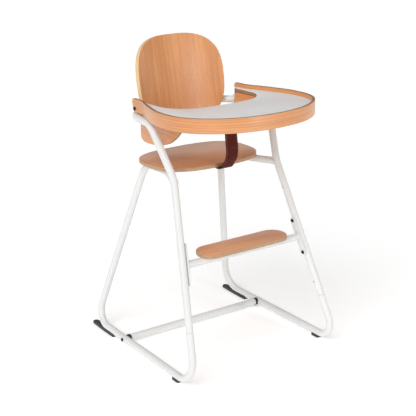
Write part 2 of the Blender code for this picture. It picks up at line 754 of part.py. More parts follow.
def build_tray(wood, laminate, steel, black, pivot):
    """The rim, its board and guards, and the lugs and bolts that it turns on."""
    arm_room = bpy.data.objects["cut_upper_frame_room"]
    band = rim_line() + offset_line(rim_line(), RIM_THICK)[::-1]
    rim = as_mesh(plate("tray_rim", band, RIM_HEIGHT, tray_plane(RIM_HEIGHT / 2)))
    board = as_mesh(plate("tray_board", tray_board_outline(), BOARD_THICK,
                          tray_plane(BOARD_UNDERSIDE - BOARD_THICK / 2)))
    skin = plate("tray_laminate", tray_board_outline(), LAMINATE_THICK,
                 tray_plane(BOARD_DROP + LAMINATE_THICK / 2))
    for label, side in SIDES.items():
        outward = Vector((side, 0, 0))
        pivot_at = TRAY_PIVOT + outward * (ARM_OUTER_X + GAP)
        reach = ARM_OUTER_X - LUG_INNER_X + PIVOT_BOLT_END
        drill = hole(f"pivot_hole_{label}", BOLT[2], pivot_at + outward * CLEAR,
                     pivot_at - outward * (reach + CLEAR))
        lug_x = side * (LUG_INNER_X + LUG_THICK / 2)
        lug = as_mesh(plate(f"tray_lug_{label}", lug_outline(), LUG_THICK, side_view(lug_x)))
        pocket_reach = outward * (LUG_THICK / 2 + LUG_ROOM[1])
        lug_centre = Vector((lug_x, TRAY_PIVOT.y, TRAY_PIVOT.z))
        pocket = make_cutter(rod(f"lug_pocket_{label}", LUG_RADIUS + LUG_ROOM[0], lug_centre - pocket_reach,
                                 lug_centre + pocket_reach))
        cut(lug, arm_room, drill)
        cut(rim, rim_end_cutter(label, side), drill)
        cut(board, pocket)
        finish(lug, steel)
        finish(fastener(f"tray_pivot_bolt_{label}", BOLT, reach, pivot_at, outward), black)
        guard_x = side * (GUARD_INNER_X + GUARD_THICK / 2)
        guard = plate(f"side_guard_{label}", guard_outline(), GUARD_THICK, side_view(guard_x))
        finish(guard, wood, pivot)
    radius, height, drop = SNAP_POST
    post_top = Vector((0, STRAP_SNAP_Y, tray_height(STRAP_SNAP_Y, BOARD_UNDERSIDE + drop)))
    post = rod("strap_snap_post", radius, post_top - Vector((0, 0, height)), post_top)
    finish(post, black, pivot)
    finish(rim, wood, pivot)
    finish(board, wood, pivot)
    finish(skin, laminate, pivot)


# ------------------------------------------------------------------ footrest
def build_footrest(wood, steel, black, carrier):
    """The board, its cross tube, and the bracket at each end that bolts to a leg."""
    length, width, thick = FOOT_BRACKET_SIZE
    tube_at = Vector((0, FOOT_TUBE_Y, FOOT_TUBE_Z))
    board_z = FOOT_TUBE_Z + TUBE_RADIUS + GAP + FOOT_BOARD_THICK / 2
    untrimmed = Vector((leg_point(1, FOOTREST_HOLES[1]).x, 0, 0))
    bar = rod("footrest_tube", TUBE_RADIUS, tube_at - untrimmed, tube_at + untrimmed)
    outline = stadium(2 * FOOT_BOARD_HALF_LENGTH, 2 * FOOT_BOARD_HALF_WIDTH, 14)
    board = as_mesh(plate("footrest_board", outline,
                          FOOT_BOARD_THICK, Matrix.Translation((0, FOOT_BOARD_Y, board_z))))
    for label, side in SIDES.items():
        along, inward = leg_axes(side)
        leg_middle = leg_point(side, sum(FOOTREST_BOLTS) / 2)
        outer_face = leg_middle + inward * (TUBE_RADIUS + GAP)
        inner_face = outer_face + inward * thick
        bracket = as_mesh(plate(f"footrest_bracket_{label}", stadium(length, width), thick,
                                place(outer_face + inward * thick / 2, along, inward.cross(along))))
        trim_size = Vector((0.3, 0.3, 0.06))
        trim_at = inner_face + inward * (GAP - trim_size.z / 2)
        cut(bar, box_cutter(f"footrest_trim_{label}", place(trim_at, along, inward.cross(along)), trim_size))
        for number, fraction in enumerate(FOOTREST_BOLTS, 1):
            seat = leg_point(side, fraction) + inward * (TUBE_RADIUS + 2 * GAP + thick)
            reach = thick + GAP
            cut(bracket, hole(f"footrest_hole_{label}_{number}", BOLT[2], seat - inward * (thick + CLEAR),
                              seat + inward * CLEAR))
            finish(fastener(f"footrest_bolt_{label}_{number}", BOLT, reach, seat, inward), black, carrier)
        screw_at = tube_at + Vector((side * FOOT_SCREW_X, 0, 0))
        build_sunk_screw(f"footrest_screw_{label}", screw_at, Vector((0, 0, 1)), bar, board, black, carrier)
        finish(bracket, steel, carrier)
    finish(bar, steel, carrier)
    finish(board, wood, carrier)


def empty(name, location):
    """An empty that marks where a moving group turns or slides."""
    made = add(name, None, Matrix.Translation(location))
    made.empty_display_size = 0.03
    bpy.context.view_layer.update()
    return made


def main():
    for old in list(bpy.data.objects):
        bpy.data.objects.remove(old)
    bpy.context.scene.collection.children.link(PARTS)
    bpy.context.scene.collection.children.link(CUTTERS)

    steel = material("white_powder_coat", (0.86, 0.86, 0.84), 0.35)
    wood = material("beech_plywood", (0.80, 0.42, 0.20), 0.45)
    laminate = material("grey_laminate", (0.62, 0.62, 0.62), 0.4)
    black = material("black_plastic", (0.03, 0.03, 0.033), 0.5)
    leather = material("brown_leather", (0.08, 0.016, 0.012), 0.6)

    loops = build_frame(steel, black)
    seat_board = build_seat(loops, black)
    build_strap(seat_board, leather, black)
    finish(seat_board, wood)
    build_backrest(wood, steel, black)
    build_tray(wood, laminate, steel, black, empty("tray_pivot", TRAY_PIVOT))
    build_footrest(wood, steel, black, empty("footrest_carrier", (0, FOOT_TUBE_Y, FOOT_TUBE_Z)))


main()
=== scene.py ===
"""The looks of the baby high chair: its finer meshes, materials, light and camera.

Lengths are in metres. The child faces -Y, +Z is up, X is sideways and the floor is z = 0.
"""

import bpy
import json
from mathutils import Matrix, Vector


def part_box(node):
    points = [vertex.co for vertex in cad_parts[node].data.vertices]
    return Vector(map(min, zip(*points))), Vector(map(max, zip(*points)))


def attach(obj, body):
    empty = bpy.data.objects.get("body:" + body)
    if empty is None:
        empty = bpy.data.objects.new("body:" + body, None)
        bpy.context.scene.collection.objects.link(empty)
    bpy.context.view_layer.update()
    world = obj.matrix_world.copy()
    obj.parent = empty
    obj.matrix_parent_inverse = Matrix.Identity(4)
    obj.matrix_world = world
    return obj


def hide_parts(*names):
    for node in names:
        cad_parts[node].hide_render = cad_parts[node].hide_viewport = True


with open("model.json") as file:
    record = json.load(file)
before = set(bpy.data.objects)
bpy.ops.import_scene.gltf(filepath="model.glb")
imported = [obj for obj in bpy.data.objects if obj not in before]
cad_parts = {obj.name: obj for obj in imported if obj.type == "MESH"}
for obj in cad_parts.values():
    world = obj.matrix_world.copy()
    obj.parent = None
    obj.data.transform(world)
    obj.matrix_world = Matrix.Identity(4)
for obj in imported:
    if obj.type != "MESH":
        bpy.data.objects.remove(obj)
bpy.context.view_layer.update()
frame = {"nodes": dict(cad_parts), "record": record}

import json
import math

import bmesh
import bpy
from mathutils import Matrix, Vector

SIDES = {"right": 1, "left": -1}
GAP = 0.0003                   # air between pieces that touch
SMOOTH_ANGLE = 35              # degrees: flatter edges are shaded smooth

# Steel frame, as in the CAD model
TUBE_RADIUS = 0.011
TUBE_SIDES = 40
TUBE_END_ROUND = 0.0008        # the broken edge at each cut end
FRONT_FLOOR = Vector((0.2648, -0.2855, 0.016))
REAR_FLOOR = Vector((0.2575, 0.2855, 0.016))
WAIST = Vector((0.1864, -0.0670, 0.5633))
ARM_CORNER = Vector((0.2149, 0.0116, 0.7151))
ARM_INWARD = math.radians(10.5)
RAIL_Y = 0.2105
UNDER_SEAT_X = 0.1395
UNDER_SEAT_FRONT_Y = 0.040
UNDER_SEAT_REAR_Y = 0.161
FLOOR_BEND = 0.056
WAIST_BEND = 0.12
ARM_BEND = 0.04
RAIL_BEND = 0.14
REAR_TOP_BEND = 0.05
SHALLOW_BEND = 0.10
BEND_STEP = math.radians(4)
LEG_JOINT = 0.26
LEG_JOINT_GAP = 0.0007
FOOTREST_HOLES = (0.3365, 0.502, 0.6745, 0.85)
FOOTREST_BOLTS = FOOTREST_HOLES[1:3]
HOLE_RADIUS = 0.0034
HOLE_REACH = (-0.006, 0.010)   # below and above the tube's surface
WELD_STEPS = 36
WELD_SIDES = 10
WELD_RADIUS = 0.0017
WELD_RIPPLE = 0.0003           # how much the bead swells and thins
WELD_RIPPLE_TURN = 2.1         # radians from one step to the next
FOOT_TUBE_INSET = 0.0012       # each end of the footrest's tube, short of its CAD box
CROSS_BAR_Y = 0.105
SPACER_RADIUS = 0.0118
SPACER_LENGTH = 0.007
SPACER_CUP = 0.004
SPACER_SIDES = 40
SPACER_EDGE = 0.0009
GLIDE_TOP = 0.0090
GLIDE_CORNER = 0.005
GLIDE_ROUND = 0.0014
REAR_FOOT_ROUND = 0.0018
REAR_FOOT_CORNER = 0.002
REAR_FOOT_STEP = 0.006         # between the places where its slope may bend
REAR_FOOT_TIP = 0.0095
REAR_FOOT_TAPER_Y = 0.225
REAR_FOOT_SLOPE = 0.10
REAR_FOOT_SLOPE_AT = (0.275, 0.0105)

# Tray
TRAY_SLOPE = 0.0392
RIM_TOP = 0.769
RIM_HEIGHT = 0.042
RIM_THICK = 0.009
RIM_END_Y = 0.147 + 0.015      # where the rim's arms are cut off
RIM_STEPS = 12
RIM_ROUND = 0.0012
PANEL_ROUND = 0.0010
SKIN_ROUND = 0.0004
GUARD_ROUND = 0.0014
ARM_OUTER_X = 0.192
BOARD_DROP = 0.012
LAMINATE_THICK = 0.001
BOARD_THICK = 0.0107
HORN_INNER_X = 0.1675
HORN_BACK_Y = 0.130
HORN_CLEAR = (0.0085, 0.008)   # how far short of the horn's back its two sides stop
GUARD_INNER_X = 0.1675
GUARD_THICK = 0.008
TRAY_PIVOT = Vector((0.0, 0.131, 0.735))
TRAY_OPEN = math.radians(80)
ARM_END_RADIUS = 0.0130
ARM_END_CORNER = 0.0083

# Seat, backrest and footrest
SEAT_TOP = 0.5786
SEAT_SLOPE = 0.0322
SEAT_THICK = 0.012
SEAT_HALF = (0.182, 0.1265)
SEAT_Y = 0.077
SEAT_POWER = 2.8               # how square its outline is
SEAT_EGG = -0.03               # how much wider it is at the front
BACK_CENTRE = Vector((0.0, 0.2003, 0.7827))
BACK_BEND = 0.31
BACK_LEAN = math.radians(11.75)
BACK_HALF = (0.160, 0.143)
BACK_POWER = 2.74
BACK_EGG = -0.02
BACK_STEP = 0.008              # between the places where it may bend
BACK_THICK = 0.012
BACK_BRACKET_U = 0.050
BACK_BRACKET_V = -0.040
BACK_BRACKET_SIZE = (0.110, 0.024, 0.003)
FOOT_BOARD_SIZE = (0.314, 0.086)
FOOT_BOARD_THICK = 0.012
FOOT_BRACKET_SIZE = (0.124, 0.023, 0.0035)
BOARD_ROUND = 0.0016           # broken edge of the seat, backrest and footrest
OUTLINE_STEPS = 160

# Bolt heads: (radius, height) as shares of the head, and the hexagonal socket's reach and depth
BOLT_SIDES = 36
BOLT_DOME = ((0.94, 0.0), (1.0, 0.12), (1.0, 0.36), (0.93, 0.66), (0.78, 0.88), (0.60, 1.0))
SOCKET_REACH = 0.48
SOCKET_DEPTH = 0.55

# Strap, as its centre line seen from the side
STRAP_WIDTH = 0.043
STRAP_THICK = 0.003
STRAP_LINE = (
    (-0.118, 0.7475),
    (-0.096, 0.7463),
    (-0.0860, 0.7400),
    (-0.0850, 0.7200),
    (-0.0874, 0.6740),
    (-0.0938, 0.6290),
    (-0.0907, 0.6040),
    (-0.0810, 0.5890),
    (-0.0715, 0.5755),
    (-0.0625, 0.5680),
    (-0.0500, 0.5652),
    (-0.0350, 0.5650),
    (-0.0080, 0.5643),
)
STRAP_CORNER = 0.004
STRAP_ROUND = 0.0009
STRAP_STEP = 0.003             # between the places where it may bend
STITCH_INSET = 0.0030
STITCH_PITCH = 0.0050
STITCH_START = 0.006           # from the strap's end to its first stitch
STITCH_SIZE = (0.0017, 0.0005, 0.0004, 1)
STITCH_LIFT = 0.00005          # how far a stitch's middle stands off the leather
STITCH_AIM = 0.0005            # distance ahead that a stitch points to

# Beech in three tones, from its pale early wood to its dark late wood. The flat boards face up and
# are painted paler and pinker: a painted sheen of the bright sky laid over the wood's own tones.
UPRIGHT_WOOD = ((0.82, 0.385, 0.160), (0.73, 0.315, 0.115), (0.63, 0.255, 0.087))
FLAT_WOOD_PAINTED_SHEEN = ((0.88, 0.475, 0.265), (0.79, 0.395, 0.205), (0.68, 0.315, 0.150))
RING_LINE = (0.42, 0.145, 0.045, 1)
FINE_LINE = (0.46, 0.19, 0.07, 1)
FLECK = (0.28, 0.105, 0.035, 1)
RING_SCALE = 0.314             # the wave texture's scale for rings one unit apart

# Studio. The sky's brightness at the horizon, and how much is added overhead
SKY_SIDE = 0.02
SKY_TOP = 0.72
HORIZON = (0.20, 0.80)         # how high the pale band above the floor reaches, and its brightness
FLOOR_RADIUS = 60
FLOOR_GLOW = 0.29
SUN_ENERGY = 2.0
SUN_ANGLE = math.radians(52)
SUN_DIRECTION = Vector((0.84, 0.42, -0.74))
STRIP_SIZE = (0.26, 1.9)
STRIP_ENERGY = 20
STRIP_PLACE = Vector((0.80, -3.1, 1.3))
STRIP_TARGET = Vector((0, 0, 0.75))

# Camera: its target, the direction it looks from in degrees, and how far away it stands
VIEW_TARGET = Vector((-0.0192, 0.0017, 0.4269))
VIEW_AZIMUTH = -35.095
VIEW_ELEVATION = 18.845
VIEW_DISTANCE = 3.4
LENS = 97.0
SENSOR_WIDTH = 36


# ------------------------------------------------------------------ node helpers
class Nodes:
    """A node tree, with short calls to add and link its nodes."""

    def __init__(self, tree):
        self.tree = tree

    def add(self, kind, inputs=(), **settings):
        """A new node. inputs are (socket, value or output) pairs."""
        node = self.tree.nodes.new("ShaderNode" + kind)
        for name, value in settings.items():
            setattr(node, name, value)
        for socket, value in inputs:
            self.feed(node.inputs[socket], value)
        return node

    def feed(self, socket, value):
        if isinstance(value, bpy.types.NodeSocket):
            self.tree.links.new(value, socket)
        else:
            socket.default_value = value

    def maths(self, operation, *values):
        return self.add("Math", list(enumerate(values)), operation=operation).outputs[0]

    def mix(self, factor, first, second):
        node = self.add("Mix", data_type="RGBA")
        for socket, value in ((0, factor), (6, first), (7, second)):
            self.feed(node.inputs[socket], value)
        return node.outputs[2]

    def ramp(self, factor, *stops):
        """A colour ramp through (position, colour) stops, where a grey may be one number."""
        node = self.add("ValToRGB", [("Fac", factor)])
        elements = node.color_ramp.elements
        for place, (position, colour) in enumerate(stops):
            element = elements[place] if place < 2 else elements.new(position)
            element.position = position
            element.color = (*colour, 1) if isinstance(colour, tuple) else (*[colour] * 3, 1)
        return node.outputs[0]

    def noise(self, vector, scale, detail=3.0, roughness=0.5, distortion=0.0):
        sockets = [("Vector", vector), ("Scale", scale), ("Detail", detail),
                   ("Roughness", roughness), ("Distortion", distortion)]
        return self.add("TexNoise", sockets).outputs["Fac"]

    def stretched(self, vector, scale, offset=(0, 0, 0)):
        sockets = [("Vector", vector), ("Scale", scale), ("Location", offset)]
        return self.add("Mapping", sockets).outputs[0]

    def bump(self, height, strength, distance):
        sockets = [("Height", height), ("Strength", strength), ("Distance", distance)]
        return self.add("Bump", sockets).outputs[0]


class Material(Nodes):
    """A new material and its Principled shader."""

    def __init__(self, name):
        self.material = bpy.data.materials.new(name)
        self.material.use_nodes = True
        super().__init__(self.material.node_tree)
        self.shader = self.tree.nodes["Principled BSDF"]

    def finish(self, **sockets):
        names = {"colour": "Base Color", "roughness": "Roughness", "normal": "Normal",
                 "metallic": "Metallic", "specular": "Specular IOR Level",
                 "coat": "Coat Weight", "coat_roughness": "Coat Roughness"}
        for name, value in sockets.items():
            if name == "colour" and isinstance(value, tuple):
                value = (*value, 1)
            self.feed(self.shader.inputs[names[name]], value)
        return self.material


# ------------------------------------------------------------------ materials
def powder_coat():
    """White powder coat: satin, with faint orange peel."""
    n = Material("white_powder_coat")
    at = n.add("TexCoord").outputs["Object"]
    peel = n.noise(at, 650, 2)
    clouds = n.noise(at, 9, 3)
    colour = n.ramp(clouds, (0.3, (0.700, 0.710, 0.703)), (0.7, (0.730, 0.740, 0.733)))
    rough = n.ramp(clouds, (0.3, 0.30), (0.7, 0.38))
    return n.finish(colour=colour, roughness=rough, normal=n.bump(peel, 0.12, 0.0004))


def veneer(name, offset, tones, figure=0.3, ring_width=0.011):
    """Lacquered beech veneer: the grain runs along the first of a board's own three directions."""
    n = Material(name)
    grain = n.add("Attribute", attribute_name="grain").outputs["Vector"]
    at = n.stretched(grain, (1, 1, 1), offset)
    wander = n.noise(n.stretched(at, (4, 16, 16)), 1, 3)
    across = RING_SCALE / ring_width
    rings = n.add("TexWave", [("Vector", n.stretched(at, (2.2, across, across))), ("Scale", 1.0),
                              ("Distortion", 2.6), ("Detail", 2.0), ("Detail Scale", 0.9)],
                  wave_type="BANDS", bands_direction="Y", wave_profile="SAW").outputs["Fac"]
    fine = n.noise(n.stretched(at, (14, 800, 800)), 1, 4, 0.65)
    streak = n.noise(n.stretched(at, (3, 120, 120)), 1, 5, 0.6, 0.2)
    flecks = n.noise(n.stretched(at, (180, 1600, 1600)), 1, 2, 0.5)
    tone = n.maths("ADD", n.maths("MULTIPLY", streak, 0.5), n.maths("MULTIPLY", wander, 0.5))
    pale, mid, dark = tones
    base = n.ramp(tone, (0.34, dark), (0.66, pale), (0.50, mid))
    line = n.ramp(rings, (0.0, 0.0), (0.62, 0.12), (0.92, 1.0))
    lined = n.mix(n.maths("MULTIPLY", line, figure), base, RING_LINE)
    grained = n.mix(n.ramp(fine, (0.40, 0.34), (0.60, 0.0)), lined, FINE_LINE)
    colour = n.mix(n.ramp(flecks, (0.60, 0.0), (0.69, 0.5)), grained, FLECK)
    height = n.maths("ADD", n.maths("MULTIPLY", fine, 0.6), n.maths("MULTIPLY", flecks, -0.4))
    rough = n.ramp(fine, (0.35, 0.50), (0.65, 0.40))
    return n.finish(colour=colour, roughness=rough, normal=n.bump(height, 0.22, 0.0002),
                    coat=0.6, coat_roughness=0.28)


def ply_edge(name, layer, shade, pale):
    """The cut edge of beech plywood: pale and darker plies by turns, with end grain pores."""
    n = Material(name)
    at = n.add("Attribute", attribute_name="grain").outputs["Vector"]
    depth = n.add("SeparateXYZ", [(0, at)]).outputs[2]
    wobble = n.maths("MULTIPLY", n.noise(n.stretched(at, (60, 60, 400)), 1, 2), 0.0004)
    turn = n.maths("PINGPONG", n.maths("ADD", n.maths("ADD", depth, wobble), layer * 20.5), layer)
    band = n.ramp(n.maths("DIVIDE", turn, layer), (0.38, shade), (0.60, pale))
    fibre = n.noise(n.stretched(at, (240, 240, 1100)), 1, 3, 0.6)
    pores = n.noise(n.stretched(at, (900, 900, 900)), 1, 2)
    patches = n.noise(n.stretched(at, (75, 75, 300)), 1, 3, 0.6)
    dim = tuple(c * 0.62 for c in shade) + (1,)
    colour = n.mix(n.ramp(fibre, (0.35, 0.45), (0.65, 0.0)), band, (*shade, 1))
    colour = n.mix(n.ramp(patches, (0.52, 0.0), (0.66, 0.55)), colour, (*shade, 1))
    colour = n.mix(n.ramp(pores, (0.60, 0.0), (0.70, 0.5)), colour, dim)
    return n.finish(colour=colour, roughness=n.ramp(fibre, (0.3, 0.62), (0.7, 0.5)),
                    normal=n.bump(fibre, 0.3, 0.0003))


def grey_laminate():
    """Pale grey laminate: a fine pebbled skin with slight clouding."""
    n = Material("grey_laminate")
    at = n.add("Attribute", attribute_name="grain").outputs["Vector"]
    pebble = n.noise(at, 1300, 2)
    clouds = n.noise(at, 11, 4)
    speck = n.noise(at, 3100, 1)
    colour = n.ramp(clouds, (0.3, (0.82, 0.82, 0.815)), (0.7, (0.85, 0.85, 0.845)))
    colour = n.mix(n.ramp(speck, (0.62, 0.0), (0.72, 0.12)), colour, (0.40, 0.40, 0.40, 1))
    return n.finish(colour=colour, roughness=n.ramp(clouds, (0.3, 0.40), (0.7, 0.48)),
                    normal=n.bump(pebble, 0.10, 0.0002))


def leather():
    """Dark brown leather: small pebbled grain, pale where it is creased, burnished at the edges."""
    n = Material("brown_leather")
    at = n.add("Attribute", attribute_name="grain").outputs["Vector"]
    cells = n.add("TexVoronoi", [("Vector", n.stretched(at, (620, 620, 620))), ("Scale", 1.0)],
                  feature="SMOOTH_F1").outputs["Distance"]
    creases = n.noise(n.stretched(at, (60, 22, 60)), 1, 4, 0.6, 0.5)
    clouds = n.noise(at, 28, 3)
    colour = n.ramp(clouds, (0.3, (0.066, 0.010, 0.006)), (0.7, (0.090, 0.015, 0.010)))
    colour = n.mix(n.ramp(creases, (0.56, 0.0), (0.75, 0.45)), colour, (0.13, 0.045, 0.034, 1))
    edge = n.maths("ABSOLUTE", n.add("SeparateXYZ", [(0, at)]).outputs[1])
    worn = n.ramp(n.maths("DIVIDE", edge, STRAP_WIDTH / 2), (0.93, 0.0), (1.0, 0.6))
    colour = n.mix(worn, colour, (0.030, 0.010, 0.008, 1))
    height = n.maths("SUBTRACT", n.maths("MULTIPLY", cells, 0.7), n.maths("MULTIPLY", creases, 0.5))
    return n.finish(colour=colour, roughness=n.ramp(cells, (0.2, 0.80), (0.8, 0.66)),
                    normal=n.bump(height, 0.45, 0.0005), specular=0.14)


def plain(name, colour, rough, scale, metallic=0.0, bump=0.15):
    """A moulded or coated surface with a fine texture and slightly uneven gloss."""
    n = Material(name)
    at = n.add("TexCoord").outputs["Object"]
    grain = n.noise(at, scale, 3)
    clouds = n.noise(at, 40, 3)
    lighter = tuple(c * 1.35 + 0.004 for c in colour)
    return n.finish(colour=n.ramp(clouds, (0.3, colour), (0.7, lighter)), metallic=metallic,
                    roughness=n.ramp(grain, (0.3, rough - 0.07), (0.7, rough + 0.07)),
                    normal=n.bump(grain, bump, 0.0003))


def floor_paint():
    n = Material("studio_floor")
    clouds = n.noise(n.add("TexCoord").outputs["Object"], 0.6, 3)
    n.feed(n.shader.inputs["Emission Color"], (1, 1, 1, 1))
    n.feed(n.shader.inputs["Emission Strength"], FLOOR_GLOW)
    return n.finish(colour=n.ramp(clouds, (0.3, 0.90), (0.7, 0.92)), roughness=0.9)


# ------------------------------------------------------------------ paths and outlines
def mirrored(point, side):
    return Vector((side * point.x, point.y, point.z))


def rounded_path(corners, radii):
    """A line through the corners, with each inner corner bent to its radius."""
    path = [corners[0]]
    for before, corner, after, radius in zip(corners, corners[1:], corners[2:], radii):
        towards = (before - corner).normalized()
        away = (after - corner).normalized()
        half = towards.angle(away) / 2
        centre = corner + (towards + away).normalized() * radius / math.sin(half)
        first = corner + towards * radius / math.tan(half) - centre
        last = corner + away * radius / math.tan(half) - centre
        turn = math.pi - 2 * half
        count = max(4, round(turn / BEND_STEP))
        for step in range(count + 1):
            path.append(centre + Matrix.Rotation(turn * step / count, 3, first.cross(last)) @ first)
    path.append(corners[-1])
    return path


def smooth_line(points, steps):
    """A smooth curve through flat points: a Catmull-Rom spline."""
    points = [Vector(point) for point in points]
    ends = [2 * points[0] - points[1]] + points + [2 * points[-1] - points[-2]]
    line = []
    for a, b, c, d in zip(ends, ends[1:], ends[2:], ends[3:]):
        for step in range(steps):
            t = step / steps
            line.append(b + ((c - a) * t + (2 * a - 5 * b + 4 * c - d) * t**2
                             + (3 * b - a - 3 * c + d) * t**3) / 2)
    line.append(points[-1])
    return line


def offset_line(line, distance):
    """The flat line moved sideways, to its left where distance is positive."""
    moved = []
    for i, point in enumerate(line):
        along = line[min(i + 1, len(line) - 1)] - line[max(i - 1, 0)]
        moved.append(point + Vector((-along.y, along.x)).normalized() * distance)
    return moved


def arc(centre, radius, start, end, steps):
    """Points round part of a circle, with its angles in degrees."""
    points = []
    for step in range(steps + 1):
        angle = math.radians(start + (end - start) * step / steps)
        points.append(Vector(centre) + radius * Vector((math.cos(angle), math.sin(angle))))
    return points


def egg(half, power, widening):
    """A rounded rectangle whose sides widen towards one end."""
    outline = []
    for step in range(OUTLINE_STEPS):
        angle = math.tau * step / OUTLINE_STEPS
        x = math.copysign(abs(math.cos(angle)) ** (2 / power), math.cos(angle))
        y = math.copysign(abs(math.sin(angle)) ** (2 / power), math.sin(angle))
        outline.append(Vector((half[0] * x * (1 - widening * y), half[1] * y)))
    return outline


def stadium(length, width, steps=20):
    """A flat bar with full round ends, along its own x."""
    reach = (length - width) / 2
    return arc((reach, 0), width / 2, -90, 90, steps) + arc((-reach, 0), width / 2, 90, 270, steps)


def rounded_rectangle(length, width, corner):
    """A rectangle with round corners, along its own x."""
    x, y = length / 2 - corner, width / 2 - corner
    outline = []
    for centre, start in (((x, y), 0), ((-x, y), 90), ((-x, -y), 180), ((x, -y), 270)):
        outline += arc(centre, corner, start, start + 90, 8)
    return outline


def leg_point(side, fraction):
    """A point on the front leg's centre line, from its floor corner up to the waist."""
    return mirrored(FRONT_FLOOR.lerp(WAIST, fraction), side)


def leg_axes(side):
    """Along the front leg, and square to it towards the middle of the chair."""
    along = (leg_point(side, 1) - leg_point(side, 0)).normalized()
    inward = Vector((-side, 0, 0))
    return along, (inward - inward.dot(along) * along).normalized()


def runner_x(y):
    """How far out the floor runner is at y."""
    share = (y - FRONT_FLOOR.y) / (REAR_FLOOR.y - FRONT_FLOOR.y)
    return FRONT_FLOOR.lerp(REAR_FLOOR, share).x


def under_seat_point(x, y):
    """The centre line of a tube that runs under the seat."""
    return Vector((x, y, SEAT_TOP - SEAT_SLOPE * y - SEAT_THICK - TUBE_RADIUS - 2 * GAP))


def backrest_point(u, v, behind):
    """A point on the curved backrest: u across it, v up it, behind its front face."""
    angle = u / BACK_BEND
    back = (BACK_BEND + behind) * math.cos(angle) - BACK_BEND
    return BACK_CENTRE + Vector((
        (BACK_BEND + behind) * math.sin(angle),
        back * math.cos(BACK_LEAN) + v * math.sin(BACK_LEAN),
        v * math.cos(BACK_LEAN) - back * math.sin(BACK_LEAN),
    ))


def backrest_outward(u):
    """Square to the backrest, away from the child."""
    return (backrest_point(u, 0, 1) - backrest_point(u, 0, 0)).normalized()


def distances(line):
    """The distance along the line to each of its points."""
    reached = [0.0]
    for a, b in zip(line, line[1:]):
        reached.append(reached[-1] + (b - a).length)
    return reached


def point_and_run(line, reached, s):
    """The point at distance s along a flat line, and the smooth direction it runs in there."""
    last = len(line) - 1
    i = next((k for k, d in enumerate(reached) if d > s + 1e-7), last) - 1
    i = max(0, min(last - 1, i))
    share = (s - reached[i]) / (reached[i + 1] - reached[i])
    this = (line[i + 1] - line[i]).normalized()
    before = (line[i] - line[i - 1]).normalized() if i > 0 else this
    after = (line[i + 2] - line[i + 1]).normalized() if i + 2 <= last else this
    run = (before + this).lerp(this + after, share).normalized()
    return line[i].lerp(line[i + 1], share), run


def place(origin, x_axis, y_axis):
    """A matrix with its own x along x_axis and its own y near y_axis."""
    x_axis = Vector(x_axis).normalized()
    z_axis = x_axis.cross(Vector(y_axis)).normalized()
    matrix = Matrix((x_axis, z_axis.cross(x_axis), z_axis)).transposed().to_4x4()
    matrix.translation = origin
    return matrix


def facing(origin, outward):
    """A matrix whose own z points outward."""
    return place(origin, outward.orthogonal(), outward.cross(outward.orthogonal()))


def tray_plane(below_top):
    """A matrix that lays plan outlines on the sloping tray, some way below the rim's top."""
    down = Vector((0, -TRAY_SLOPE, -1)).normalized()
    return place(Vector((0, 0, RIM_TOP)) + down * below_top, (1, 0, 0), (0, 1, -TRAY_SLOPE))


# ------------------------------------------------------------------ meshes
def made_object(name, shape, looks, smooth_angle=SMOOTH_ANGLE):
    """A mesh object from a bmesh, smooth but for its edges over the angle."""
    mesh = bpy.data.meshes.new(name)
    shape.to_mesh(mesh)
    shape.free()
    mesh.shade_smooth()
    mesh.set_sharp_from_angle(angle=math.radians(smooth_angle))
    for look in looks:
        mesh.materials.append(look)
    made = bpy.data.objects.new(name, mesh)
    bpy.context.scene.collection.objects.link(made)
    return made


def settle(made, body, slot, *nodes):
    """Put a piece on its body, in the place of the CAD nodes that it stands for."""
    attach(made, body)
    if nodes:
        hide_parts(*nodes)
    return made


def ring_stack(shape, rings):
    """Join rings of points, each to the next, and close the two ends."""
    stacked = [[shape.verts.new(point) for point in ring] for ring in rings]
    for lower, upper in zip(stacked, stacked[1:]):
        for i in range(len(lower)):
            j = (i + 1) % len(lower)
            shape.faces.new((lower[i], lower[j], upper[j], upper[i]))
    shape.faces.new(stacked[0][::-1])
    shape.faces.new(stacked[-1])


def circle(matrix, radius, height, sides):
    """Points round the matrix's z, at a height along it."""
    angles = [math.tau * i / sides for i in range(sides)]
    return [matrix @ Vector((radius * math.cos(a), radius * math.sin(a), height)) for a in angles]


def tube_shape(path):
    """A round bar along the path, with its end edges just broken."""
    points = list(path)
    for end, inner in ((0, 1), (-1, -2)):
        inward = (points[inner] - points[end]).normalized() * TUBE_END_ROUND
        points.insert(1 if end == 0 else len(points) - 1, points[end] + inward)
    shape = bmesh.new()
    rings = []
    side = (points[1] - points[0]).orthogonal().normalized()
    for i, point in enumerate(points):
        along = (points[min(i + 1, len(points) - 1)] - points[max(i - 1, 0)]).normalized()
        side = (side - side.dot(along) * along).normalized()
        up = along.cross(side)
        reach = TUBE_RADIUS - TUBE_END_ROUND if i in (0, len(points) - 1) else TUBE_RADIUS
        ring = []
        for step in range(TUBE_SIDES):
            angle = math.tau * step / TUBE_SIDES
            ring.append(point + reach * (side * math.cos(angle) + up * math.sin(angle)))
        rings.append(ring)
    ring_stack(shape, rings)
    return shape


def turned_shape(profile, matrix, sides):
    """A solid of revolution about the matrix's z. The profile is its (radius, height) points."""
    shape = bmesh.new()
    ring_stack(shape, [circle(matrix, radius, height, sides) for radius, height in profile])
    bmesh.ops.recalc_face_normals(shape, faces=shape.faces)
    return shape


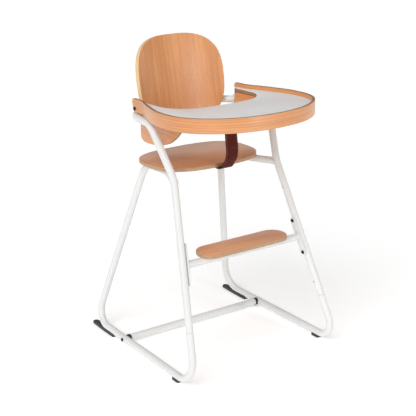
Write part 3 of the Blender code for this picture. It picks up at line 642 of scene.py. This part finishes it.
def board_shape(outline, thickness, edge_round, cuts=()):
    """A flat board with rounded edges, in its own x, y and depth z.

    The faces are material 0 and the edges are material 1. cuts are the x positions where it may
    bend. The board's own coordinates are kept as the grain attribute."""
    shape = bmesh.new()
    corners = [shape.verts.new((point[0], point[1], -thickness / 2)) for point in outline]
    face = shape.faces.new(corners)
    raised = bmesh.ops.extrude_face_region(shape, geom=[face])
    top = [item for item in raised["geom"] if isinstance(item, bmesh.types.BMVert)]
    bmesh.ops.translate(shape, vec=(0, 0, thickness), verts=top)
    bmesh.ops.recalc_face_normals(shape, faces=shape.faces)
    rims = [edge for edge in shape.edges if abs(edge.verts[0].co.z - edge.verts[1].co.z) < 1e-7]
    bmesh.ops.bevel(shape, geom=rims, offset=edge_round, segments=3, profile=0.5, affect="EDGES")
    for cut in cuts:
        geometry = list(shape.verts) + list(shape.edges) + list(shape.faces)
        bmesh.ops.bisect_plane(shape, geom=geometry, plane_co=(cut, 0, 0), plane_no=(1, 0, 0),
                               dist=1e-6)
    grain = shape.verts.layers.float_vector.new("grain")
    for face in shape.faces:
        face.material_index = 0 if abs(face.normal.z) > 0.95 else 1
    for vertex in shape.verts:
        vertex[grain] = vertex.co
    return shape


def cuts_between(low, high, step):
    """Even places between low and high, about a step apart."""
    count = max(1, round((high - low) / step))
    return [low + (high - low) * i / count for i in range(1, count)]


def bent(shape, bend):
    """Move each point of a board to bend(x, y, depth)."""
    for vertex in shape.verts:
        vertex.co = bend(*vertex.co)
    bmesh.ops.recalc_face_normals(shape, faces=shape.faces)
    return shape


def board(name, outline, thickness, matrix, looks, edge_round):
    """A flat board laid on the matrix's XY plane."""
    made = made_object(name, board_shape(outline, thickness, edge_round), looks)
    made.matrix_world = matrix
    return made


# ------------------------------------------------------------------ frame pieces
def build_tubes(steel):
    """The upper frame, the side loops, the cross bar and the footrest's tube."""
    along = leg_axes(1)[0]
    arm_run = RAIL_Y - ARM_CORNER.y
    rail_corner = Vector((ARM_CORNER.x - arm_run * math.tan(ARM_INWARD), RAIL_Y,
                          ARM_CORNER.z - arm_run * TRAY_SLOPE))
    right = [leg_point(1, LEG_JOINT) + along * LEG_JOINT_GAP / 2, WAIST, ARM_CORNER, rail_corner]
    corners = [mirrored(corner, -1) for corner in right] + right[::-1]
    path = rounded_path(corners, (WAIST_BEND, ARM_BEND, RAIL_BEND, RAIL_BEND, ARM_BEND, WAIST_BEND))
    upper = made_object("upper_frame_tube", tube_shape(path), [steel])
    for side in SIDES.values():
        inward = leg_axes(side)[1]
        for fraction in FOOTREST_HOLES:
            drill(upper, leg_point(side, fraction) + inward * TUBE_RADIUS, inward)
    settle(upper, "frame", "white_powder_coat", "upper_frame")

    for label, side in SIDES.items():
        corners = [
            leg_point(1, LEG_JOINT) - along * LEG_JOINT_GAP / 2,
            FRONT_FLOOR,
            REAR_FLOOR,
            under_seat_point(UNDER_SEAT_X, UNDER_SEAT_REAR_Y),
            under_seat_point(UNDER_SEAT_X, UNDER_SEAT_FRONT_Y),
            under_seat_point(WAIST.x, WAIST.y),
        ]
        path = rounded_path([mirrored(corner, side) for corner in corners],
                            (FLOOR_BEND, FLOOR_BEND, REAR_TOP_BEND, SHALLOW_BEND))
        loop = made_object(f"side_loop_tube_{label}", tube_shape(path), [steel])
        settle(loop, "frame", "white_powder_coat", f"side_loop_{label}")
        build_weld(label, side, path[-2], path[-1], steel)

    bar_end = runner_x(CROSS_BAR_Y) - TUBE_RADIUS - SPACER_LENGTH
    ends = [Vector((x, CROSS_BAR_Y, FRONT_FLOOR.z)) for x in (-bar_end, bar_end)]
    cross_bar = made_object("cross_bar_tube", tube_shape(ends), [steel])
    settle(cross_bar, "frame", "white_powder_coat", "cross_bar")

    low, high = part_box("footrest_tube")
    axis = (low + high) / 2
    ends = [Vector((x, axis.y, axis.z))
            for x in (low.x + FOOT_TUBE_INSET, high.x - FOOT_TUBE_INSET)]
    bar = made_object("footrest_bar", tube_shape(ends), [steel])
    settle(bar, "footrest", "white_powder_coat", "footrest_tube")


def drill(made, surface, outward):
    """A blind bolt hole, cut where the surface point is."""
    matrix = facing(surface, outward)
    profile = [(HOLE_RADIUS, reach) for reach in HOLE_REACH]
    cutter = made_object("hole_cutter", turned_shape(profile, matrix, 24), [])
    boolean = made.modifiers.new("hole", "BOOLEAN")
    boolean.object = cutter
    bpy.context.view_layer.update()
    evaluated = made.evaluated_get(bpy.context.evaluated_depsgraph_get())
    mesh = bpy.data.meshes.new_from_object(evaluated)
    made.modifiers.clear()
    made.data = mesh
    mesh.set_sharp_from_angle(angle=math.radians(SMOOTH_ANGLE))
    bpy.data.objects.remove(cutter)


def build_weld(label, side, inner, end, steel):
    """The weld bead where the run under the seat meets the front leg."""
    along = (end - inner).normalized()
    across = along.orthogonal().normalized()
    up = along.cross(across)
    leg_start = leg_point(side, 0)
    leg_along = leg_axes(side)[0]
    bead = []
    for step in range(WELD_STEPS):
        angle = math.tau * step / WELD_STEPS
        start = inner + TUBE_RADIUS * (across * math.cos(angle) + up * math.sin(angle))
        offset = start - leg_start
        offset_flat = offset - offset.dot(leg_along) * leg_along
        along_flat = along - along.dot(leg_along) * leg_along
        a = along_flat.length_squared
        b = offset_flat.dot(along_flat)
        c = offset_flat.length_squared - TUBE_RADIUS**2
        root = max(b * b - a * c, 0)
        bead.append(start + along * (-b - math.sqrt(root)) / a)
    shape = bmesh.new()
    rings = []
    for i, point in enumerate(bead):
        forward = (bead[(i + 1) % WELD_STEPS] - bead[i - 1]).normalized()
        sideways = along.cross(forward).normalized()
        size = WELD_RADIUS + WELD_RIPPLE * math.sin(i * WELD_RIPPLE_TURN)
        ring = []
        for k in range(WELD_SIDES):
            angle = math.tau * k / WELD_SIDES
            reach = sideways * math.cos(angle) + forward.cross(sideways) * math.sin(angle)
            ring.append(shape.verts.new(point + size * reach))
        rings.append(ring)
    for near, far in zip(rings, rings[1:] + rings[:1]):
        for k in range(WELD_SIDES):
            j = (k + 1) % WELD_SIDES
            shape.faces.new((near[k], near[j], far[j], far[k]))
    bmesh.ops.recalc_face_normals(shape, faces=shape.faces)
    settle(made_object(f"seat_weld_{label}", shape, [steel], 80), "frame", "white_powder_coat")


def build_floor_pieces(black):
    """Spacers, glides and rear feet."""
    for label, side in SIDES.items():
        start = runner_x(CROSS_BAR_Y) - TUBE_RADIUS - SPACER_LENGTH
        length = SPACER_LENGTH + SPACER_CUP
        profile = ((SPACER_RADIUS - SPACER_EDGE, 0.0002), (SPACER_RADIUS, 0.0011),
                   (SPACER_RADIUS, length - 0.0008), (SPACER_RADIUS - SPACER_EDGE, length))
        matrix = place((side * start, CROSS_BAR_Y, FRONT_FLOOR.z), (0, 1, 0), (0, 0, side))
        shape = turned_shape(profile, matrix, SPACER_SIDES)
        spacer = made_object(f"bar_spacer_{label}", shape, [black])
        settle(spacer, "frame", "black_plastic", f"cross_bar_spacer_{label}")

        low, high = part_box(f"front_glide_{label}")
        middle = (low + high) / 2
        outline = rounded_rectangle(high.y - low.y, high.x - low.x, GLIDE_CORNER)
        matrix = place((middle.x, middle.y, GLIDE_TOP / 2), (0, 1, 0), (-1, 0, 0))
        glide = board(f"glide_{label}", outline, GLIDE_TOP, matrix, [black, black], GLIDE_ROUND)
        settle(glide, "frame", "black_plastic", f"front_glide_{label}")

        low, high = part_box(f"rear_foot_{label}")
        foot_x, wide, thick = (low.x + high.x) / 2, (high.x - low.x) / 2, high.z - low.z
        start = [Vector((low.y, -wide + REAR_FOOT_CORNER)),
                 Vector((low.y + REAR_FOOT_CORNER, -wide)), Vector((REAR_FOOT_TAPER_Y, -wide))]
        tip = arc((high.y - REAR_FOOT_TIP, 0), REAR_FOOT_TIP, -90, 90, 16)
        outline = start + tip + [Vector((p.x, -p.y)) for p in start[::-1]]
        slope_y, slope_z = REAR_FOOT_SLOPE_AT

        def slope(x, y, z):
            tall = min(thick, slope_z - (x - slope_y) * math.tan(REAR_FOOT_SLOPE))
            return Vector((foot_x - y, x, (z / thick + 0.5) * tall))

        cuts = cuts_between(low.y, high.y, REAR_FOOT_STEP)
        shape = board_shape(outline, thick, REAR_FOOT_ROUND, cuts)
        foot = made_object(f"foot_{label}", bent(shape, slope), [black, black])
        settle(foot, "frame", "black_plastic", f"rear_foot_{label}")


def build_brackets(steel):
    """The flat bars that carry the footrest and the backrest."""
    length, width, thick = FOOT_BRACKET_SIZE
    for label, side in SIDES.items():
        along, inward = leg_axes(side)
        centre = leg_point(side, sum(FOOTREST_BOLTS) / 2) + inward * (TUBE_RADIUS + GAP + thick / 2)
        bracket = board(f"foot_bracket_{label}", stadium(length, width), thick,
                        place(centre, along, inward.cross(along)), [steel, steel], 0.0007)
        settle(bracket, "footrest", "white_powder_coat", f"footrest_bracket_{label}")

    length, width, thick = BACK_BRACKET_SIZE
    up = Vector((0, math.sin(BACK_LEAN), math.cos(BACK_LEAN)))
    for label, side in SIDES.items():
        u = side * BACK_BRACKET_U
        outward = backrest_outward(u)
        centre = backrest_point(u, BACK_BRACKET_V, BACK_THICK + GAP + thick / 2)
        bracket = board(f"back_bracket_{label}", stadium(length, width), thick,
                        place(centre, up, outward.cross(up)), [steel, steel], 0.0006)
        settle(bracket, "frame", "white_powder_coat", f"backrest_bracket_{label}")


def build_bolts(black):
    """Every bolt, screw and stud, each facing the way that its head does."""
    for name in sorted(frame["nodes"]):
        side = SIDES["right" if "right" in name else "left"]
        if "cross_bar_bolt" in name or "pivot_bolt" in name:
            outward = Vector((side, 0, 0))
        elif "footrest_bolt" in name:
            outward = leg_axes(side)[1]
        elif "backrest_bolt" in name:
            outward = backrest_outward(side * BACK_BRACKET_U)
        elif "seat_screw" in name:
            outward = Vector((0, -SEAT_SLOPE, -1)).normalized()
        elif "footrest_screw" in name or name == "strap_stud":
            outward = Vector((0, 0, -1))
        else:
            continue
        build_bolt(name, outward, black)


def build_bolt(name, outward, black):
    """A fastener as large as its CAD node: its shank, and a low dome with a hexagonal socket."""
    points = [vertex.co for vertex in frame["nodes"][name].data.vertices]
    middle = sum(points, Vector()) / len(points)
    reaches = [(point - middle).dot(outward) for point in points]
    widths = [(point - middle - (point - middle).dot(outward) * outward).length for point in points]
    top, bottom, head = max(reaches), min(reaches), max(widths)
    shank = min(width for width in widths if width > 0.001)
    seat = min(reach for reach, width in zip(reaches, widths) if width > head - 0.0001)
    height = top - seat
    bodies = frame["record"]["behaviour"]["bodies"]
    body = next(body for body, nodes in bodies.items() if name in nodes)
    profile = [(shank, bottom), (shank, seat)]
    profile += [(head * wide, seat + height * tall) for wide, tall in BOLT_DOME]
    matrix = facing(middle, outward)
    rings = [circle(matrix, radius, at, BOLT_SIDES) for radius, at in profile]
    twelfth = math.pi / 6
    for at in (top, top - height * SOCKET_DEPTH):
        hexagon = []
        for i in range(BOLT_SIDES):
            angle = math.tau * i / BOLT_SIDES
            from_flat = (angle + twelfth) % (2 * twelfth) - twelfth
            reach = head * SOCKET_REACH * math.cos(twelfth) / math.cos(from_flat)
            hexagon.append(matrix @ Vector((reach * math.cos(angle), reach * math.sin(angle), at)))
        rings.append(hexagon)
    shape = bmesh.new()
    ring_stack(shape, rings)
    bmesh.ops.recalc_face_normals(shape, faces=shape.faces)
    settle(made_object(f"{name}_head", shape, [black], 30), body, "black_steel", name)


# ------------------------------------------------------------------ wooden pieces
def build_seat(face, edge):
    outline = [point + Vector((0, SEAT_Y)) for point in egg(SEAT_HALF, SEAT_POWER, SEAT_EGG)]
    normal = Vector((0, SEAT_SLOPE, 1)).normalized()
    middle = Vector((0, 0, SEAT_TOP)) - normal * SEAT_THICK / 2
    matrix = place(middle, (1, 0, 0), (0, 1, -SEAT_SLOPE))
    seat = board("seat", outline, SEAT_THICK, matrix, [face, edge], BOARD_ROUND)
    settle(seat, "frame", "beech_plywood", "seat_board")


def build_backrest(face, edge):
    """The board is made flat, standing on its side so that its grain runs up, and then bent."""
    outline = egg(BACK_HALF, BACK_POWER, BACK_EGG)
    cuts = cuts_between(-BACK_HALF[0], BACK_HALF[0], BACK_STEP)
    shape = board_shape(outline, BACK_THICK, BOARD_ROUND, cuts)
    bent(shape, lambda u, v, depth: backrest_point(u, v, depth + BACK_THICK / 2))
    grain = shape.verts.layers.float_vector["grain"]
    for vertex in shape.verts:
        u, v, depth = vertex[grain]
        vertex[grain] = (v, u, depth)
    backrest = made_object("backrest", shape, [face, edge])
    settle(backrest, "frame", "beech_plywood", "backrest_shell")


def build_footrest(face, edge):
    low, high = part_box("footrest_board")
    middle = (low + high) / 2
    shelf = board("footrest_shelf", stadium(*FOOT_BOARD_SIZE, steps=32), FOOT_BOARD_THICK,
                  Matrix.Translation(middle), [face, edge], BOARD_ROUND)
    settle(shelf, "footrest", "beech_plywood", "footrest_board")


def rim_line():
    """The outer edge of the tray rim seen from above, from the left arm round to the right."""
    right = [
        (0.0, -0.301),
        (0.108, -0.284),
        (0.190, -0.234),
        (0.237, -0.1625),
        (0.243, -0.067),
        (0.216, 0.034),
        (0.1985, 0.080),
        (0.1930, 0.105),
        (ARM_OUTER_X, 0.130),
        (ARM_OUTER_X, RIM_END_Y),
    ]
    return smooth_line([(-x, y) for x, y in right[:0:-1]] + right, RIM_STEPS)


def rim_outline(length, pivot_along, pivot_up, half_height):
    """The rim laid out flat: a strip whose ends are round under the pivot and lean back above."""
    lean = math.radians(90) - TRAY_OPEN
    lean_degrees = math.degrees(lean)
    corner_up = half_height - ARM_END_CORNER - pivot_up
    corner_back = (ARM_END_RADIUS - ARM_END_CORNER + corner_up * math.sin(lean)) / math.cos(lean)
    end = [Vector((pivot_along, -half_height))]
    end += arc((pivot_along, pivot_up), ARM_END_RADIUS, -80, -lean_degrees, 8)
    corner = (pivot_along + corner_back, pivot_up + corner_up)
    end += arc(corner, ARM_END_CORNER, -lean_degrees, 90, 10)
    start = [Vector((length - point.x, point.y)) for point in end[::-1]]
    return end + start


def build_tray(face, edge, skin):
    """The rim, bent round from a flat strip, and the board and its laminate inside it."""
    line = rim_line()
    reached = distances(line)
    length = reached[-1]
    pivot_back = RIM_END_Y - TRAY_PIVOT.y
    middle_z = RIM_TOP - TRAY_SLOPE * TRAY_PIVOT.y - RIM_HEIGHT / 2
    outline = rim_outline(length, length - pivot_back, TRAY_PIVOT.z - middle_z, RIM_HEIGHT / 2)
    shape = board_shape(outline, RIM_THICK, RIM_ROUND, reached[1:-1])
    plane = tray_plane(RIM_HEIGHT / 2)

    def wrap(along, up, depth):
        here, run = point_and_run(line, reached, along)
        inside = Vector((-run.y, run.x)) * (RIM_THICK / 2 - depth)
        return plane @ Vector((here.x + inside.x, here.y + inside.y, up))

    rim = made_object("rim", bent(shape, wrap), [face, edge])
    settle(rim, "tray", "beech_plywood", "tray_rim")

    outline = tray_board_outline()
    under = BOARD_DROP + LAMINATE_THICK + GAP
    tray = board("tray_panel", outline, BOARD_THICK, tray_plane(under + BOARD_THICK / 2),
                 [face, edge], PANEL_ROUND)
    settle(tray, "tray", "beech_plywood", "tray_board")
    sheet = board("tray_skin", outline, LAMINATE_THICK + GAP,
                  tray_plane(BOARD_DROP + (LAMINATE_THICK + GAP) / 2), [skin, skin], SKIN_ROUND)
    settle(sheet, "tray", "grey_laminate", "tray_laminate")


def tray_board_outline():
    """The board inside the rim, with a deep cut-out for the child and a horn on each side."""
    outer_x = ARM_OUTER_X - RIM_THICK - 2 * GAP
    horn_round = (outer_x - HORN_INNER_X) / 2
    rim_side = offset_line(rim_line(), RIM_THICK + GAP)
    inside = [p for p in rim_side if p.y < HORN_BACK_Y - HORN_CLEAR[0]]
    cut_out = [
        (0.0, -0.060),
        (0.063, -0.058),
        (0.115, -0.045),
        (0.150, -0.012),
        (0.1650, 0.020),
        (HORN_INNER_X, 0.060),
        (HORN_INNER_X, HORN_BACK_Y - HORN_CLEAR[1]),
    ]
    cut_out = [(-x, y) for x, y in cut_out[:0:-1]] + cut_out
    tip_centre = (HORN_INNER_X + horn_round, HORN_BACK_Y - horn_round)
    right_tip = arc(tip_centre, horn_round, 0, 180, 12)
    left_tip = [Vector((-p.x, p.y)) for p in right_tip[::-1]]
    return inside + right_tip + smooth_line(cut_out, 10)[-2::-1][:-1] + left_tip


def build_guards(face, edge):
    """The two side guards, whose top edges follow the slope of the tray board."""
    top = BOARD_DROP + LAMINATE_THICK + BOARD_THICK + 2 * GAP
    lower = [
        (0.1275, 0.7120),
        (0.1275, 0.6620),
        (0.1255, 0.6460),
        (0.1130, 0.6370),
        (0.0920, 0.6350),
        (0.0500, 0.6385),
        (0.0300, 0.6410),
        (-0.0040, 0.6510),
        (-0.0310, 0.6625),
        (-0.0600, 0.6820),
        (-0.0850, 0.7050),
        (-0.1050, 0.7270),
    ]

    def under_board(y):
        return Vector((y, RIM_TOP - TRAY_SLOPE * y - top))

    outline = [under_board(0.112), Vector((0.1230, 0.7330))]
    outline += smooth_line(lower, 6) + [under_board(-0.120)]
    for label, side in SIDES.items():
        x = side * (GUARD_INNER_X + GUARD_THICK / 2)
        matrix = place((x, 0, 0), (0, 1, 0), (0, 0, 1))
        guard = board(f"guard_{label}", outline, GUARD_THICK, matrix, [face, edge], GUARD_ROUND)
        settle(guard, "tray", "beech_plywood", f"side_guard_{label}")


# ------------------------------------------------------------------ strap
def build_strap(hide, thread):
    """The leather strap, bent along its line, and the row of stitches down each edge."""
    line = smooth_line(STRAP_LINE, 12)
    reached = distances(line)
    length = reached[-1]

    def wrap(s, x, depth):
        here, run = point_and_run(line, reached, s)
        out = Vector((run.y, -run.x)) * depth
        return Vector((x, here.x + out.x, here.y + out.y))

    half = STRAP_WIDTH / 2
    far, wide = length - STRAP_CORNER, half - STRAP_CORNER
    outline = []
    for centre, start in (((STRAP_CORNER, -wide), 180), ((far, -wide), 270),
                          ((far, wide), 0), ((STRAP_CORNER, wide), 90)):
        outline += arc(centre, STRAP_CORNER, start, start + 90, 4)
    cuts = cuts_between(0, length, STRAP_STEP)
    shape = board_shape(outline, STRAP_THICK, STRAP_ROUND, cuts)
    strap = made_object("leather_strap", bent(shape, wrap), [hide, hide], 60)
    settle(strap, "frame", "brown_leather", "crotch_strap")

    stitches = bmesh.new()
    count = int((length - 2 * STITCH_START) / STITCH_PITCH)
    for side in SIDES.values():
        x = side * (half - STITCH_INSET)
        for face in (-1, 1):
            depth = face * (STRAP_THICK / 2 + STITCH_LIFT)
            for i in range(count):
                s = STITCH_START + STITCH_PITCH * (i + 0.5)
                here = wrap(s, x, depth)
                run = wrap(s + STITCH_AIM, x, depth) - here
                matrix = place(here, run, (1, 0, 0)) @ Matrix.Diagonal(STITCH_SIZE)
                bmesh.ops.create_icosphere(stitches, subdivisions=1, radius=1, matrix=matrix)
    settle(made_object("strap_stitches", stitches, [thread], 80), "frame", "brown_leather")


# ------------------------------------------------------------------ studio
def build_studio():
    """A pale floor, a soft sky that is brightest overhead and at the horizon, a sun and a strip."""
    floor = bmesh.new()
    bmesh.ops.create_circle(floor, cap_ends=True, segments=96, radius=FLOOR_RADIUS)
    made_object("floor", floor, [floor_paint()])

    world = bpy.data.worlds.new("studio")
    bpy.context.scene.world = world
    world.use_nodes = True
    n = Nodes(world.node_tree)
    direction = n.add("TexCoord").outputs["Generated"]
    height = n.add("SeparateXYZ", [(0, direction)]).outputs[2]
    squared = n.maths("MULTIPLY", height, height)
    sky = n.maths("MULTIPLY_ADD", squared, SKY_TOP, SKY_SIDE)
    above = n.maths("GREATER_THAN", height, HORIZON[0])
    strength = n.add("Mix", [(0, above), (2, HORIZON[1]), (3, sky)]).outputs[0]
    background = n.tree.nodes["Background"]
    n.feed(background.inputs["Color"], (1, 1, 1, 1))
    n.feed(background.inputs["Strength"], strength)

    sun = add_lamp("key", "SUN", SUN_ENERGY, SUN_DIRECTION)
    sun.data.angle = SUN_ANGLE
    strip = add_lamp("strip", "AREA", STRIP_ENERGY, STRIP_TARGET - STRIP_PLACE)
    strip.location = STRIP_PLACE
    strip.data.shape = "RECTANGLE"
    strip.data.size, strip.data.size_y = STRIP_SIZE


def add_lamp(name, kind, energy, direction):
    """A light that shines along the direction."""
    light = bpy.data.lights.new(name, kind)
    light.energy = energy
    lamp = bpy.data.objects.new(name, light)
    bpy.context.scene.collection.objects.link(lamp)
    lamp.rotation_euler = direction.to_track_quat("-Z", "Y").to_euler()
    return lamp


def build_camera():
    azimuth, elevation = math.radians(VIEW_AZIMUTH), math.radians(VIEW_ELEVATION)
    level = math.cos(elevation)
    back = Vector((math.sin(azimuth) * level, -math.cos(azimuth) * level, math.sin(elevation)))
    camera = bpy.data.cameras.new("camera")
    camera.lens = LENS
    camera.sensor_width = SENSOR_WIDTH
    made = bpy.data.objects.new("camera", camera)
    bpy.context.scene.collection.objects.link(made)
    made.location = VIEW_TARGET + back * VIEW_DISTANCE
    made.rotation_euler = (-back).to_track_quat("-Z", "Y").to_euler()
    bpy.context.scene.camera = made


def main():
    bpy.context.scene.view_settings.view_transform = "Standard"
    build_studio()
    build_camera()

    steel = powder_coat()
    black = plain("black_plastic", (0.018, 0.018, 0.020), 0.50, 900)
    bolt = plain("black_steel", (0.012, 0.012, 0.013), 0.38, 1500, 0.6, 0.08)
    thread = plain("strap_thread", (0.34, 0.20, 0.14), 0.75, 2500)
    edge = ply_edge("plywood_edge", 0.0015, (0.35, 0.19, 0.092), (0.66, 0.45, 0.265))
    pale_edge = ply_edge("pale_plywood_edge", 0.0020, (0.66, 0.38, 0.17), (0.88, 0.70, 0.46))
    thin_edge = ply_edge("thin_plywood_edge", 0.0015, (0.20, 0.115, 0.06), (0.50, 0.31, 0.16))

    build_tubes(steel)
    build_floor_pieces(black)
    build_brackets(steel)
    build_bolts(bolt)
    # The seat and footrest take the flat tones, whose paler pink is a painted sheen.
    build_seat(veneer("seat_veneer", (0.3, 1.1, 0), FLAT_WOOD_PAINTED_SHEEN), edge)
    build_backrest(veneer("backrest_veneer", (1.7, 0.4, 0), UPRIGHT_WOOD, 0.12, 0.016), pale_edge)
    build_footrest(veneer("footrest_veneer", (2.9, 2.3, 0), FLAT_WOOD_PAINTED_SHEEN, 0.2), edge)
    rim_veneer = veneer("rim_veneer", (4.1, 3.2, 0), UPRIGHT_WOOD, 0.42, 0.0075)
    build_tray(rim_veneer, thin_edge, grey_laminate())
    build_guards(veneer("guard_veneer", (5.3, 0.9, 0), UPRIGHT_WOOD), thin_edge)
    build_strap(leather(), thread)
    for name in ("tray_lug_left", "tray_lug_right", "leg_sleeve_left", "leg_sleeve_right"):
        frame["nodes"][name].material_slots[0].material = steel
    for name in ("strap_snap_cap", "strap_snap_post"):
        frame["nodes"][name].material_slots[0].material = bolt


main()
